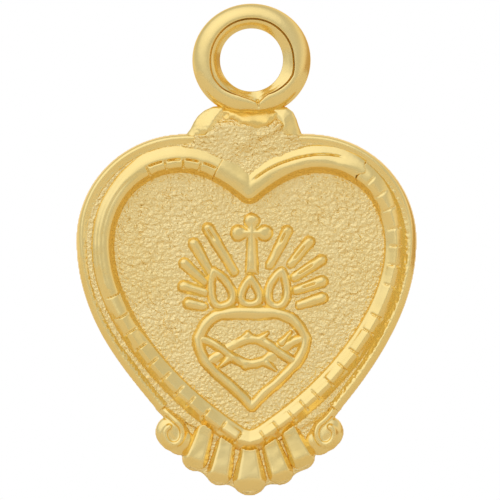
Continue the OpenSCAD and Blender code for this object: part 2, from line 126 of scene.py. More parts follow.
def plate_edge():
    """The right half of the plate's heart: its side as far as the scroll, and the foot behind the skirt."""
    w, low = HEART_W, TIP - WAIST
    end = (0.527 * w, -WAIST - 0.785 * low)
    top = bez((0.355 * w, -HEART_DROP), (0.72 * w, -HEART_DROP),
              (w, -HEART_DROP - 0.45 * (WAIST - HEART_DROP)), (w, -WAIST))
    side = bez((w, -WAIST), (w, -WAIST - 0.312 * low), (0.781 * w, -WAIST - 0.55 * low), end)
    foot = bez(end, (0.402 * w, -WAIST - 0.872 * low), (0.17 * w, -WAIST - 0.975 * low), (0, -TIP))
    return chain(top, side), foot


def crest_line():
    w, top, cleft, waist, end = CREST_W, -CREST_TOP, CLEFT, -CREST_WAIST, -CREST_END
    h = waist - end
    lobe = bez((0, top - cleft), (0.135 * w, top - 0.45 * cleft), (0.3 * w, top), (0.46 * w, top))
    shoulder = bez((0.46 * w, top), (0.77 * w, top), (w, top - 0.43 * (top - waist)), (w, waist))
    low = (0.07 * w, end + 0.015 * h)
    side = bez((w, waist), (w, waist - 0.33 * h), (0.62 * w, waist - 0.72 * h), low, 32)
    tip = np.array([(0.07 * w, end), (0, end)])
    return moved(both_halves(chain(lobe, shoulder, side, tip)), -BEZEL_SHIFT)


def small_heart_line():
    w, z, h = SMALL_W, SMALL_Z, SMALL_H
    side = z - 0.28 * h
    top = bez((0, z), (0.56 * w, z), (0.82 * w, z), (w, side))
    low = bez((w, side), (w, side - 0.3 * h), (0.45 * w, side - 0.42 * h), (0, z - h))
    return both_halves(chain(top, low))


# Maps: arrays over a window of the plate's plane
def window(x0, x1, z0, z1, cell=CELL):
    x = np.arange(math.floor(x0 / cell), math.ceil(x1 / cell) + 1) * cell
    z = np.arange(math.floor(z0 / cell), math.ceil(z1 / cell) + 1) * cell
    return np.meshgrid(x, z, indexing="ij")


def around(path, room, cell=CELL):
    path = np.array(path)
    (x0, z0), (x1, z1) = path.min(0) - room, path.max(0) + room
    return window(x0, x1, z0, z1, cell)


def near(grid, path, reach=2.0, closed=False):
    """Distance to a path, and the length along it of the nearest point."""
    X, Z = grid
    points = closed_up(path) if closed else np.array(path, float)
    far = np.full(X.shape, FAR)
    run = np.zeros(X.shape)
    xs, zs = X[:, 0], Z[0]
    length = 0.0
    for a, b in zip(points[:-1], points[1:]):
        ab = b - a
        step = math.hypot(*ab)
        if step < 1e-9:
            continue
        i0, i1 = np.searchsorted(xs, (min(a[0], b[0]) - reach, max(a[0], b[0]) + reach))
        j0, j1 = np.searchsorted(zs, (min(a[1], b[1]) - reach, max(a[1], b[1]) + reach))
        x, z = X[i0:i1, j0:j1] - a[0], Z[i0:i1, j0:j1] - a[1]
        t = np.clip((x * ab[0] + z * ab[1]) / step**2, 0, 1)
        d = np.hypot(x - t * ab[0], z - t * ab[1])
        closer = d < far[i0:i1, j0:j1]
        far[i0:i1, j0:j1][closer] = d[closer]
        run[i0:i1, j0:j1][closer] = (length + t * step)[closer]
        length += step
    return far, run


def within(grid, path):
    """Where the window lies inside a closed path."""
    X, Z = grid
    inside = np.zeros(X.shape, bool)
    points = closed_up(path)
    for a, b in zip(points[:-1], points[1:]):
        if a[1] == b[1]:
            continue
        crossed = (a[1] > Z) != (b[1] > Z)
        inside ^= crossed & (X < (b[0] - a[0]) * (Z - a[1]) / (b[1] - a[1]) + a[0])
    return inside


def outline(grid, path, reach=2.0):
    """Signed distance to a closed path, negative inside."""
    far = near(grid, path, reach, True)[0]
    return np.where(within(grid, path), -far, far)


def bar(grid, p0, r0, p1, r1):
    """Signed distance to a tapered, round-ended bar, the share t along it and the offset v across it."""
    X, Z = grid
    d = np.array(p1, float) - p0
    length = math.hypot(*d)
    x, z = X - p0[0], Z - p0[1]
    t = (x * d[0] + z * d[1]) / length**2
    v = (x * d[1] - z * d[0]) / length
    c = np.clip(t, 0, 1)
    return np.hypot(x - c * d[0], z - c * d[1]) - (r0 + (r1 - r0) * c), t, v


def ease(x, a, b):
    """A smooth step from 0 at a to 1 at b."""
    t = np.clip((x - a) / (b - a), 0, 1)
    return t * t * (3 - 2 * t)


def hump(x, width):
    """1 at x = 0, and next to nothing at twice the width."""
    return np.exp(-((x / width) ** 2))


def mound(grid, x, z, spread):
    """A round hump about a point. The spread is its width squared."""
    X, Z = grid
    return np.exp(-((X - x) ** 2 + (Z - z) ** 2) / spread)


def blend_min(a, b, k):
    h = np.clip(0.5 + 0.5 * (b - a) / k, 0, 1)
    return b + (a - b) * h - k * h * (1 - h)


def blend_max(a, b, k):
    return -blend_min(-a, -b, k)


def leaned(path):
    """The path with its lower part drawn to the right."""
    path[:, 0] += LEAN * ease(-path[:, 1], LEAN_TOP, LEAN_LOW)
    return path


def lit_side(grid, far):
    """1 on the side of a line that faces the light, 0 on its other side."""
    dx, dz = np.gradient(far, grid[0][1, 0] - grid[0][0, 0])
    steepness = np.maximum(np.hypot(dx, dz), 1e-6)
    return ease((dx * LIT[0] + dz * LIT[1]) / steepness, -0.6, 0.6)


def ridge(d, half, high, top=0.25, lit=0.5):
    """Strip over distance d, flat up to the share top. It meets the front at half, or further in the lee."""
    x = np.abs(d) / half / (1.0 + 0.16 * (1 - lit) * (np.abs(d) > top * half))
    at = (0.0, top, 0.5 + 0.4 * top, 1.0, 1.2, 2.2)
    return high * np.interp(x, at, (1.0, 0.97, 0.62, 0.0, -0.28, -6.0))


# Lattices of random values: cells before they repeat, the origin's place and, in cells, a bead's radius
NOISE_CELLS, NOISE_AT = 128, (37.3, 51.7)
BEAD_CELLS, BEAD_AT, BEAD_R = 256, (91.0, 117.0), 0.72


def wobble(grid, pitch, seed):
    """Smooth noise between -1 and 1."""
    X, Z = grid
    n = NOISE_CELLS
    cells = np.random.default_rng(seed).uniform(-1, 1, (n, n))
    u, v = X / pitch + NOISE_AT[0], Z / pitch + NOISE_AT[1]
    i, j = np.floor(u).astype(int), np.floor(v).astype(int)
    s, t = ease(u - i, 0, 1), ease(v - j, 0, 1)
    a, b = cells[i % n, j % n], cells[(i + 1) % n, j % n]
    c, d = cells[i % n, (j + 1) % n], cells[(i + 1) % n, (j + 1) % n]
    return (a * (1 - s) + b * s) * (1 - t) + (c * (1 - s) + d * s) * t


def pebbles(grid, pitch, seed):
    """Small domes on a jittered lattice, from 0 between them to 1 on top."""
    X, Z = grid
    size = BEAD_CELLS
    rng = np.random.default_rng(seed)
    jitter = rng.uniform(0.12, 0.88, (2, size, size))
    lift = rng.uniform(0.6, 1.0, (size, size))
    u, v = X / pitch + BEAD_AT[0], Z / pitch + BEAD_AT[1]
    i, j = np.floor(u).astype(int), np.floor(v).astype(int)
    best = np.full(X.shape, FAR)
    high = np.zeros(X.shape)
    for p in (-1, 0, 1):
        for q in (-1, 0, 1):
            m, n = (i + p) % size, (j + q) % size
            d = np.hypot(i + p + jitter[0][m, n] - u, j + q + jitter[1][m, n] - v)
            closer = d < best
            best[closer] = d[closer]
            high[closer] = lift[m, n][closer]
    return high * np.clip(1 - (best / BEAD_R) ** 2, 0, 1)


# Meshes: the two moves of a softening round, and the slopes between which a point stops following its map
DRAW_IN, PUSH_OUT = 0.5, -0.52
GENTLE, STEEP = 0.9, 1.8


def skin(f, start, cell):
    """Closed quad surface where f changes sign. f is negative inside."""
    n = np.array(f.shape) - 1
    inside = f < 0
    count = np.zeros(n, np.uint8)
    corners = [(a, b, c) for a in (0, 1) for b in (0, 1) for c in (0, 1)]
    for a, b, c in corners:
        count += inside[a:a + n[0], b:b + n[1], c:c + n[2]]
    active = (count > 0) & (count < 8)
    cells = np.argwhere(active)
    number = np.full(n, -1, np.int64)
    number[active] = np.arange(len(cells))
    total = np.zeros((len(cells), 3))
    hits = np.zeros(len(cells))
    for k, p in enumerate(corners):
        for q in corners[k + 1:]:
            if sum(abs(np.subtract(p, q))) != 1:
                continue
            fp = f[tuple((cells + p).T)]
            fq = f[tuple((cells + q).T)]
            cut = (fp < 0) != (fq < 0)
            t = fp[cut] / (fp[cut] - fq[cut])
            total[cut] += np.array(p) + t[:, None] * (np.array(q) - p)
            hits[cut] += 1
    points = np.array(start) + cell * (cells + total / hits[:, None])
    quads = []
    for axis in range(3):
        u, v = (axis + 1) % 3, (axis + 2) % 3
        lo = [slice(1, -1)] * 3
        hi = [slice(1, -1)] * 3
        lo[axis], hi[axis] = slice(0, -1), slice(1, None)
        a, b = inside[tuple(lo)], inside[tuple(hi)]
        for way in (1, -1):
            edge = np.argwhere(a & ~b if way > 0 else b & ~a)
            base = edge.copy()
            base[:, u] += 1
            base[:, v] += 1
            ring = []
            for du, dv in ((-1, -1), (0, -1), (0, 0), (-1, 0)):
                c = base.copy()
                c[:, u] += du
                c[:, v] += dv
                ring.append(number[tuple(c.T)])
            quads.append(np.stack(ring[::way], 1))
    return points, np.vstack(quads)


def softened(points, quads, rounds):
    """The points drawn towards their neighbours and back, which rounds steps and keeps the size."""
    edges = np.vstack([quads[:, (k, (k + 1) % 4)] for k in range(4)])
    n = len(points)
    count = np.bincount(edges[:, 0], minlength=n) + np.bincount(edges[:, 1], minlength=n)
    for share in (DRAW_IN, PUSH_OUT) * rounds:
        total = np.stack([np.bincount(edges[:, 0], points[edges[:, 1], k], n)
                          + np.bincount(edges[:, 1], points[edges[:, 0], k], n) for k in range(3)], 1)
        points = points + share * (total / count[:, None] - points)
    return points


def on_map(grid, values, x, z):
    """A map's values at scattered points."""
    X, Z = grid
    cell = X[1, 0] - X[0, 0]
    u = np.clip((x - X[0, 0]) / cell, 0, X.shape[0] - 1.001)
    v = np.clip((z - Z[0, 0]) / cell, 0, X.shape[1] - 1.001)
    i, j = u.astype(int), v.astype(int)
    s, t = u - i, v - j
    low = values[i, j] * (1 - s) + values[i + 1, j] * s
    high = values[i, j + 1] * (1 - s) + values[i + 1, j + 1] * s
    return low * (1 - t) + high * t


def laid_on(points, grid, values, side, edge):
    """The points near a gently sloping stretch of a map, moved onto it."""
    dx, dz = np.gradient(values, grid[0][1, 0] - grid[0][0, 0])
    steep = ease(np.hypot(dx, dz), GENTLE, STEEP)
    x, r, z = points.T
    target = on_map(grid, values, x, z)
    share = (1 - on_map(grid, steep, x, z)) * (np.abs(r - target) < 1.5 * CELL)
    if side is not None:
        share = share * ease(-on_map(grid, side, x, z), edge, edge + 0.1)
    return np.stack([x, r + share * (target - r), z], 1)


def add_piece(points, faces, node, material):
    """A piece from points in millimetres, which stands for a CAD node."""
    mesh = bpy.data.meshes.new("cast_" + node)
    mesh.from_pydata((np.asarray(points) * MM).tolist(), [], np.asarray(faces).tolist())
    mesh.validate()
    mesh.polygons.foreach_set("use_smooth", [True] * len(mesh.polygons))
    mesh.materials.append(material)
    piece = bpy.data.objects.new("cast_" + node, mesh)
    bpy.context.scene.collection.objects.link(piece)
    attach(piece, "root")
    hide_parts(node)


def cast(node, material, grid, high, low=SUNK, side=None, edge=0.1, cell=CELL, rounds=3):
    """A piece between the rises low and high and, where given, inside an outline: there side is negative."""
    X, Z = grid
    low = np.broadcast_to(low, X.shape)
    there = high > low
    levels = np.arange(math.floor(low.min() / cell) - 2, math.ceil(high[there].max() / cell) + 3) * cell
    r = levels[None, :, None]
    f = np.maximum(r - high[:, None, :], low[:, None, :] - r)
    if side is not None:
        across, along = side[:, None, :] + edge, f + edge
        corner = np.hypot(np.maximum(across, 0), np.maximum(along, 0))
        f = np.minimum(np.maximum(across, along), 0) + corner - edge
    f = np.pad(f.astype(np.float32), 1, constant_values=1.0)
    points, quads = skin(f, (X[0, 0] - cell, levels[0] - cell, Z[0, 0] - cell), cell)
    points = laid_on(softened(points, quads, rounds), grid, high, side, edge)
    points = np.stack([points[:, 0], FRONT - points[:, 1], points[:, 2]], 1)
    add_piece(points, quads, node, material)


# Materials
GOLD = (0.95, 0.75, 0.33)
MATT_GOLD = (0.95, 0.77, 0.39)
# The solder's gold is a deeper orange than the rest: painted shade of the hollow beneath the ring
SOLDER_SHADE_GOLD = (0.94, 0.69, 0.25)
# What the darker patches keep of each colour, the patches' scales and the noise values they lie between
DARKER = (0.975, 0.95, 0.86)
TONE_SCALE, WEAR_SCALE = 420.0, 900.0
NOISE_LOW, NOISE_HIGH = 0.3, 0.7


def new_node(nodes, kind, **values):
    """A shader node, with values for the inputs that are named."""
    node = nodes.new("ShaderNode" + kind)
    for name, value in values.items():
        node.inputs[name.replace("_", " ")].default_value = value
    return node


def gold(name, colour, rough, grain, grain_size, tint):
    """Cast gold: its tone and roughness vary softly, and fine grain bends its reflections."""
    material = bpy.data.materials.new(name)
    material.use_nodes = True
    nodes, links = material.node_tree.nodes, material.node_tree.links
    shader = nodes["Principled BSDF"]
    shader.inputs["Metallic"].default_value = 1.0
    shader.inputs["Specular Tint"].default_value = (*tint, 1)
    place = new_node(nodes, "TexCoord")
    tone = new_node(nodes, "TexNoise", Scale=TONE_SCALE, Detail=4.0)
    wear = new_node(nodes, "TexNoise", Scale=WEAR_SCALE, Detail=3.0)
    fine = new_node(nodes, "TexNoise", Scale=grain_size, Detail=2.0)
    shades = new_node(nodes, "ValToRGB")
    dark, bright = shades.color_ramp.elements
    dark.position, bright.position = NOISE_LOW, NOISE_HIGH
    dark.color = (*(c * share for c, share in zip(colour, DARKER)), 1)
    bright.color = (*colour, 1)
    spread = new_node(nodes, "MapRange", From_Min=NOISE_LOW, From_Max=NOISE_HIGH,
                      To_Min=rough * 0.8, To_Max=rough * 1.25)
    bump = new_node(nodes, "Bump", Strength=1.0, Distance=grain * MM)
    for noise in (tone, wear, fine):
        links.new(place.outputs["Object"], noise.inputs["Vector"])
    links.new(tone.outputs["Fac"], shades.inputs["Fac"])
    links.new(shades.outputs["Color"], shader.inputs["Base Color"])
    links.new(wear.outputs["Fac"], spread.inputs["Value"])
    links.new(spread.outputs["Result"], shader.inputs["Roughness"])
    links.new(fine.outputs["Fac"], bump.inputs["Height"])
    links.new(bump.outputs["Normal"], shader.inputs["Normal"])
    return material


polished = gold("polished_gold", GOLD, 0.2, 0.006, 4000.0, (1.0, 0.86, 0.6))
stippled = gold("stippled_gold", MATT_GOLD, 0.27, 0.13, 6500.0, (1.0, 0.86, 0.6))
shaded_solder = gold("solder_gold", SOLDER_SHADE_GOLD, 0.26, 0.008, 4000.0, (1.0, 0.84, 0.55))
for node, cad in frame["nodes"].items():
    cad.data.materials.clear()
    cad.data.materials.append(polished)

# Shared lines
FLUTE_ROOTS = ((-2.3, 1.15), (-1.2, 0.6), (0, 0.3), (1.1, 0.55), (2.1, 1.1))
FLUTE_TIPS = ((-2.68, 0.04), (-1.48, -0.68), (0, -0.97), (1.52, -0.64), (2.58, 0.09))
side_edge, foot_edge = plate_edge()
heart_edge = leaned(moved(both_halves(chain(side_edge, foot_edge)), -HEART_SHIFT))
small_line = small_heart_line()
crest = crest_line()
crest_steps = np.diff(closed_up(crest), axis=0)
crest_lengths = lengths(closed_up(crest))
crest_length = float(crest_lengths.sum())
crest_middles = np.cumsum(crest_lengths) - crest_lengths / 2
facing = (crest_steps[:, 0] * LIT[1] - crest_steps[:, 1] * LIT[0]) / np.maximum(crest_lengths, 1e-9)
flute_roots = moved(FLUTE_ROOTS, -BEZEL_SHIFT, -TIP)
flute_tips = moved(FLUTE_TIPS, -BEZEL_SHIFT, -TIP)
scroll_at = {s: np.array((s * SCROLL_X - BEZEL_SHIFT, SCROLL_Z)) for s in (-1, 1)}
scroll_foot = {s: np.array((s * SCROLL_FOOT_X - BEZEL_SHIFT, SCROLL_FOOT_Z)) for s in (-1, 1)}

# Each flame's tip, the handles of its left and right sides, and its lowest point
FLAMES = {
    "flame_left": ((-1.92, -10.45), (-2.07, -10.9), (-2.22, -12.2),
                   (-1.15, -10.85), (-0.35, -12.1), (-1.52, -12.25)),
    "flame_centre": ((-0.07, -10.8), (-0.37, -11.15), (-0.97, -12.1),
                     (0.22, -11.15), (0.82, -12.1), (-0.07, -12.15)),
    "flame_right": ((1.5, -10.47), (0.87, -10.8), (0.42, -12.15),
                    (1.72, -10.8), (2.05, -12.15), (1.27, -12.25)),
}
FLAME_DROP = -0.07
CROSS_FOOT, CROSS_H, CROSS_ARM, TREFOIL, SHAFT = -10.575, 2.95, 0.65, 0.4, 0.25

# Each ray's root and tip, from the top of the small heart, and where a groove runs, as shares of its length
RAY_FOOT, RAY_TIP = 0.28, 0.35
RAYS = {
    "ray_left_1": ((-0.9, 1.75), (-2.2, 3.9)), "ray_left_2": ((-2.1, 1.75), (-2.9, 3.15)),
    "ray_left_3": ((-2.38, 1.25), (-3.38, 2.15)), "ray_left_4": ((-2.35, 0.7), (-3.42, 1.02)),
    "ray_left_5": ((-2.4, 0), (-3.15, 0.16)), "ray_right_1": ((0.9, 2.1), (1.75, 3.8)),
    "ray_right_2": ((1.95, 2.15), (2.85, 3.25)), "ray_right_3": ((2.15, 1.5), (3.45, 2.35)),
    "ray_right_4": ((2.25, 0.85), (3.5, 1.28)), "ray_right_5": ((2.4, 0.1), (3.5, 0.47)),
}
RAY_GROOVES = {"ray_left_1": (0.7, 1.05), "ray_right_1": (0.6, 1.0), "ray_right_2": (0.15, 0.85),
               "ray_right_3": (0.1, 0.75), "ray_right_4": (0.2, 0.8)}


def flame_line(name):
    tip, a, b, c, d, low = FLAMES[name]
    return moved(chain(bez(tip, a, b, low, 14), bez(low, d, c, tip, 14))[:-1], 0, FLAME_DROP)


def lee(run):
    """The lee along the crest: 0 where its outside faces the light, 1 where it faces away."""
    return 1 - ease(np.interp(run, crest_middles, facing), -0.3, 0.3)


# Back plate: the land between rim and bezel in the light, in the lee and where the strips cover it
GROOVE, LOW_GROOVE, COVERED = 0.38, 0.25, 0.15
BEAD_RISE, LOWER_BEADS, BEAD_PITCH = 0.085, 0.055, 0.26
GRAIN_RISE, PLATE_EDGE, MARGIN = 0.055, 0.16, 0.2


def skirt_outline(grid):
    apex = (-BEZEL_SHIFT, SCROLL_Z + 1.7)
    fan = outline(grid, np.array([scroll_at[-1], *flute_tips, scroll_at[1], apex]), 3.0)
    for root, tip, r in zip(flute_roots, flute_tips, FLUTE_TIP_R):
        fan = blend_min(fan, bar(grid, root, FLUTE_ROOT_R, tip, r)[0], 0.75)
    for s in (-1, 1):
        fan = blend_min(fan, bar(grid, scroll_at[s], SCROLL_R, scroll_foot[s], SCROLL_FOOT_R)[0], 0.12)
    return fan


def emblem_gap(grid):
    """Distance to the nearest strip of the sacred heart."""
    gap = outline(grid, small_line, 3.0)
    gap = np.where(gap < 0, np.minimum(-gap - 0.3, 0.3), gap - 0.3)
    for root, tip in RAYS.values():
        gap = np.minimum(gap, bar(grid, moved(root, 0, FLAME_Z), 0.2, moved(tip, 0, FLAME_Z), 0.3)[0])
    return np.minimum(gap, bar(grid, (0, CROSS_FOOT), 1.2, (0, CROSS_FOOT + CROSS_H - 0.5), 0.8)[0])


def make_plate():
    grid = window(PLATE_LOW.x - MARGIN, PLATE_HIGH.x + MARGIN, PLATE_LOW.z - MARGIN, PLATE_HIGH.z + MARGIN)
    X, Z = grid
    heart = outline(grid, heart_edge, 3.0)
    to_crest, run = near(grid, crest, 2.5, True)
    inner = np.where(within(grid, crest), to_crest, -to_crest)
    open_field = ease(inner, BEZEL_IN + 0.3, BEZEL_IN + 1.3) * ease(emblem_gap(grid), 0.1, 0.9)
    bent = (X + 0.09 * wobble(grid, 0.5, 1), Z + 0.09 * wobble(grid, 0.5, 2))
    beads = pebbles((bent[0] * 0.85 + bent[1] * 0.2, bent[1] * 1.1), BEAD_PITCH, 3)
    grains = pebbles(bent, GRAIN, 5)
    coarse = BEAD_RISE + LOWER_BEADS * ease(-Z, 11.0, 15.0)
    rise = coarse * beads * open_field + GRAIN_RISE * grains * (1 - 0.5 * open_field)
    rise = rise + 0.015 * wobble(grid, 0.8, 7) - 0.04 * open_field
    room = np.minimum(-heart - 0.38, -inner - 0.42)
    groove = GROOVE + (LOW_GROOVE - GROOVE) * lee(run)
    outside = COVERED + (groove - COVERED) * ease(room, -0.1, 0.06)
    outside += 0.06 * (grains - 0.4) * ease(room, 0.04, 0.22)
    step = ease(inner, -0.2, -0.05)
    rise = rise * step + outside * (1 - step)
    back = -PLATE_T + 0.012 * wobble(grid, 1.3, 11) + 0.006 * pebbles(grid, 0.4, 13)
    side = blend_min(heart, skirt_outline(grid), 0.1)
    cast("back_plate", stippled, grid, rise, back, side, PLATE_EDGE, rounds=1)


# Rim strips: their rise at distances from the plate's edge, above and further down
RIM_AT = (-0.08, -0.04, 0.0, 0.05, 0.1, 0.15, 0.2, 0.28, 0.36, 0.46, 0.54, 0.62, 0.75)
RIM_UPPER = (-0.5, 0.05, 0.28, 0.42, 0.47, 0.49, 0.49, 0.45, 0.42, 0.41, 0.36, 0.2, -0.5)
RIM_LOWER = (-0.5, 0.0, 0.08, 0.2, 0.32, 0.41, 0.47, 0.47, 0.42, 0.33, 0.27, 0.18, -0.5)
RIM_UNDER = -0.35


def make_rims():
    for s, node in ((-1, "rim_strip_left"), (1, "rim_strip_right")):
        start = (s * RIM_START - HEART_SHIFT, -HEART_DROP)
        path = leaned(np.vstack([start, moved(side_edge * (s, 1), -HEART_SHIFT)]))
        grid = around(path, 0.5)
        far, run = near(grid, path, 1.0)
        inner = np.where(within(grid, heart_edge), far, -far)
        length = float(lengths(path).sum())
        lower = ease(run, 6.0, 12.0)
        high = np.interp(inner, RIM_AT, RIM_UPPER) * (1 - lower)
        high += np.interp(inner, RIM_AT, RIM_LOWER) * lower
        wider = 0.1 * (1 - lower)
        granular = ease(inner, 0.22 + wider, 0.32 + wider) * ease(0.56 - inner, 0, 0.1)
        high += 0.02 * wobble(grid, 0.9, 21) + GRAIN_RISE * (pebbles(grid, GRAIN, 23) - 0.4) * granular
        high = np.where((run <= 0.001) | (run >= length - 0.001), NOWHERE, high)
        cast(node, polished, grid, high, RIM_UNDER)


# Bezel: where its notches are, as lengths along the crest to each side of the cleft
NOTCHES_LEFT = (2.82, 3.73, 4.65, 5.61, 12.95, 14.09, 14.97, 15.89, 16.85, 17.83, 18.8, 19.6, 20.57, 21.63,
                22.6)
NOTCHES_RIGHT = (6.75, 7.6, 8.46, 9.48, 10.37, 11.37, 12.41, 14.09, 14.97, 16.21, 17.17, 18.16, 19.1, 19.9,
                 20.7, 21.63, 22.45)
NOTCH_DEPTH, NOTCH_W = 0.12, 0.04
# The segments next to the ribbon's left end are narrow, and each has a slit along its middle
NARROW_RUN, SLIT_RUN = 3.9, 3.7
SLIT_DEPTH, SLIT_AT, SLIT_W = 0.2, 0.03, 0.035
# Two faint lines along the left side: the depth, offset and width of each
LINES = ((0.035, 0.26, 0.04), (0.025, -0.02, 0.05))
# The stretch on the left that has no notches, and how deep those on the right go as far as its widest place
PLAIN_AT, PLAIN_HALF = 9.3, 3.65
SHALLOW, SHALLOW_RUN = 0.6, 13.5

# The bezel's rise across the crest: inside it in the light and in the lee, then outside it
WALL_AT = (-0.74, -0.68, -0.64, -0.58, -0.5, -0.42, -0.35, -0.28, -0.16, -0.06, 0.0)
WALL = (-0.5, -0.1, 0.05, 0.2, 0.38, 0.52, 0.6, 0.64, 0.66, 0.665, 0.67)
BANK_AT = (-0.76, -0.7, -0.66, -0.63, -0.58, -0.48, -0.38, -0.28, -0.18, -0.09, -0.04, 0.0)
BANK = (-0.5, -0.15, 0.1, 0.27, 0.33, 0.39, 0.46, 0.53, 0.6, 0.655, 0.66, 0.65)
SLOPE_AT = (0.0, 0.06, 0.14, 0.22, 0.32, 0.42, 0.5, 0.56, 0.66, 0.75)
WIDE_SLOPE_AT = (0.0, 0.12, 0.24, 0.35, 0.47, 0.6, 0.72, 0.78, 0.88, 1.0)
SLOPE = (0.67, 0.67, 0.65, 0.61, 0.54, 0.46, 0.38, 0.3, 0.05, -0.6)
LEE_SLOPE = (0.65, 0.6, 0.52, 0.43, 0.33, 0.23, 0.15, 0.08, -0.08, -0.6)

# The ribbon: its window, its height over the bezel, its overlap on the right and the seam along it
RIBBON_WINDOW = (-3.4, 6.6, -8.6, -3.9)
RIBBON_T, OVERLAP = 0.04, 0.15
RIBBON_SEAM_AT, RIBBON_SEAM_W, RIBBON_SEAM_DEPTH = 0.29, 0.04, 0.17


def bezel_map(grid):
    """The offset u from the crest, the length along it, and the bezel's plain rise. Inside, u is negative."""
    far, run = near(grid, crest, 1.4, True)
    u = np.where(within(grid, crest), -far, far)
    away = lee(run)
    upper = 1 - ease(np.minimum(run, crest_length - run), 5.5, 8.0)
    inner = np.interp(u, WALL_AT, WALL) * (1 - away) + np.interp(u, BANK_AT, BANK) * away
    outer = np.interp(u, SLOPE_AT, SLOPE) * (1 - upper) + np.interp(u, WIDE_SLOPE_AT, SLOPE) * upper
    outer = outer * (1 - away) + np.interp(u, SLOPE_AT, LEE_SLOPE) * away
    return u, run, np.where(u < 0, inner, outer)


def make_bezel():
    grid = around(crest, 0.9)
    u, run, high = bezel_map(grid)
    end = crest_length - RIBBON_LEFT
    cuts = np.array(sorted((*NOTCHES_RIGHT, *(crest_length - s for s in NOTCHES_LEFT))))
    index = np.searchsorted(cuts, run)
    edges = np.concatenate([[RIBBON_RIGHT], cuts, [end]])
    share = (run - edges[index]) / (edges[index + 1] - edges[index])
    gap = np.minimum(run - edges[index], edges[index + 1] - run)
    rng = np.random.default_rng(31)
    tilt = rng.uniform(-0.05, 0.05, len(edges))[index]
    lean = rng.uniform(-0.12, 0.12, len(edges))[index]
    plain = np.abs(run - crest_length + PLAIN_AT) < PLAIN_HALF
    top = ease(high, 0.3, 0.55) * np.where(plain, 0.0, np.where(run < SHALLOW_RUN, SHALLOW, 1.0))
    narrow = run > end - NARROW_RUN
    reach = np.where(narrow, 0.02, 0.16)
    band = ease(u, -0.46, -0.38) * (1 - ease(u, reach, reach + np.where(narrow, 0.06, 0.2)))
    high = high + top * band * (tilt * (share - 0.5) * 2 + lean * u)
    high -= top * band * NOTCH_DEPTH * hump(gap, NOTCH_W)
    left = ease(run, crest_length - 13.5, crest_length - 11.5) * (1 - ease(run, end - 5.5, end - 4.2))
    high -= left * sum(depth * hump(u - at, width) for depth, at, width in LINES)
    slit = hump(u - SLIT_AT, SLIT_W) * (run > end - SLIT_RUN) * ease(gap, 0.06, 0.2)
    high -= SLIT_DEPTH * slit
    high += 0.012 * wobble(grid, 0.5, 33)
    high = np.where((run < RIBBON_RIGHT) | (run > end), NOWHERE, high)
    cast("notched_bezel", polished, grid, high)


def make_ribbon():
    """The strip over the cleft: an overlapped end on the right, and a seam along its outer side."""
    grid = window(*RIBBON_WINDOW)
    u, run, high = bezel_map(grid)
    s = np.where(run > crest_length / 2, run - crest_length, run)
    end = RIBBON_RIGHT + OVERLAP + 0.14 * np.sin(u * 8.0 + 0.5)
    swell = ease(s, 0.5, 3.0) * (1 - ease(s, 5.0, 6.0))
    high = high + RIBBON_T + 0.02 * wobble(grid, 0.6, 41)
    high += 0.05 * swell * (1 - ease(np.abs(u + 0.1), 0.1, 0.3))
    high += 0.07 * ease(s, 4.6, 5.8) * ease(high, 0.35, 0.6)
    seam = hump(u - RIBBON_SEAM_AT - 0.04 * np.sin(s * 1.5), RIBBON_SEAM_W)
    high -= RIBBON_SEAM_DEPTH * seam * ease(s, 0.2, 0.9) * (1 - ease(s, 4.6, 5.2))
    high = np.where((s < -RIBBON_LEFT - 0.05) | (s > end), NOWHERE, high)
    cast("bezel_ribbon", polished, grid, high)


# Skirt: a flute's rise at its flanks, what its facet adds at the root and at the tip, and its grit
FLANK_H, FACET_H, FACET_MORE = 0.2, 0.26, 0.1
GRIT_RISE, GRIT_PITCH = 0.06, 0.15
SPIRAL_START, SPIRAL_TURN, SPIRAL_R, SPIRAL_IN = 50.0, 290.0, 0.53, 0.24
# The coil bulges towards the scroll's foot: by how much, round which angle and how widely
BULGE, BULGE_AT, BULGE_W = 0.2, -75, 55
DOME_H, COIL_H, COIL_HALF = 0.48, 0.3, 0.23


def make_flutes():
    for i, (root, tip, r) in enumerate(zip(flute_roots, flute_tips, FLUTE_TIP_R)):
        grid = around(np.array([root, tip]), r + 0.5)
        far, t, v = bar(grid, root, FLUTE_ROOT_R, tip, r)
        width = FLUTE_ROOT_R + (r - FLUTE_ROOT_R) * np.clip(t, 0, 1.2)
        across = np.abs(v) / width
        beyond = (t - 1) * math.hypot(*(tip - root))
        facet = 1 - ease(across, 0.54, 1.1)
        lip = 1 - 1.05 * ease(beyond, 0.1, 1.15 * r)
        high = (FLANK_H + (FACET_H + FACET_MORE * np.clip(t, 0, 1)) * facet) * lip
        grit = GRIT_RISE * (pebbles(grid, GRIT_PITCH, 50 + i) - 0.3)
        high += grit * ease(across, 0.72, 0.9) * (1 - ease(beyond, -0.3, 0.0))
        high = np.where(far < 0.015, high, -4 * (far - 0.015))
        outside = outline(grid, crest, 1.6) - BEZEL_OUT + 0.15
        high = np.where(outside < 0, NOWHERE, high + 0.012 * wobble(grid, 0.4, 55 + i))
        cast("flute_%d" % (i + 1), polished, grid, high)


